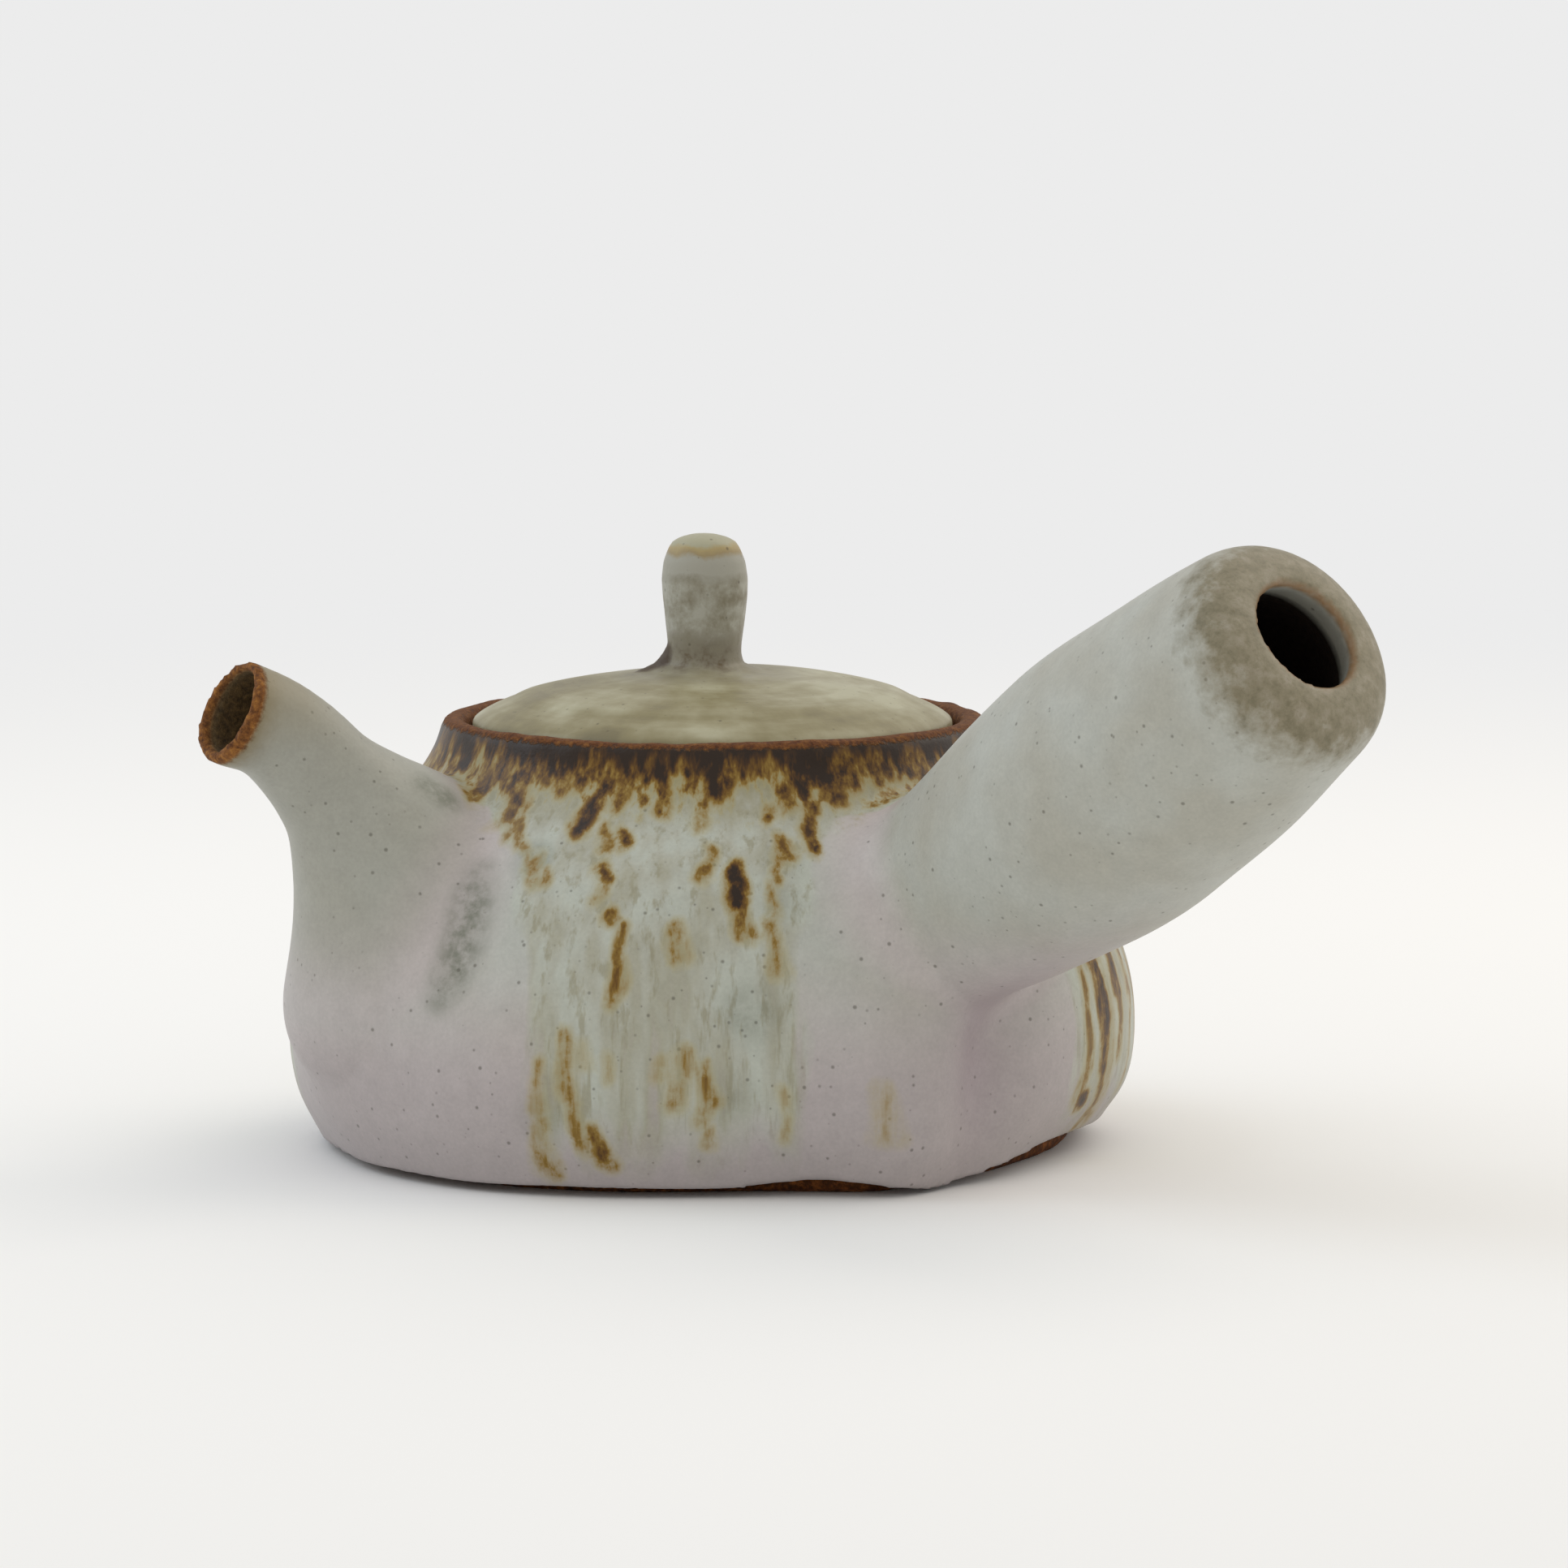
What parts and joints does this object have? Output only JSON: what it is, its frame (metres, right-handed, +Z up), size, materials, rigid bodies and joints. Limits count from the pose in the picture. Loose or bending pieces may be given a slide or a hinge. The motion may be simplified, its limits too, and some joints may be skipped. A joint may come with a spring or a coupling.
{
  "type": "side-handle teapot",
  "caption": "Squat glazed stoneware teapot with a short spout, a hollow side handle, a clay strainer inside and a domed lid with a knob.",
  "frame": {"origin": "middle of the flat unglazed foot, on the surface that the pot stands on", "axes": "+Z up, -X along the spout, and the handle at 282 degrees about +Z from +X, which is to the right of someone who holds it and pours"},
  "size_m": [0.1347, 0.1739, 0.0886],
  "materials": {
    "celadon_glaze": "satin",
    "lid_glaze": "satin",
    "bare_stoneware": "matte"
  },
  "bodies": {
    "pot": {"foot_slab": "bare_stoneware", "pot_body": "celadon_glaze", "spout": "celadon_glaze", "handle": "celadon_glaze", "strainer": "bare_stoneware"},
    "lid": {"lid": "lid_glaze", "lid_knob": "lid_glaze"}
  },
  "joints": [
    {"name": "lid_lift", "type": "slide", "parent": "pot", "child": "lid", "axis": [0, 0, 1], "range_m": [0, 0.05]}
  ]
}
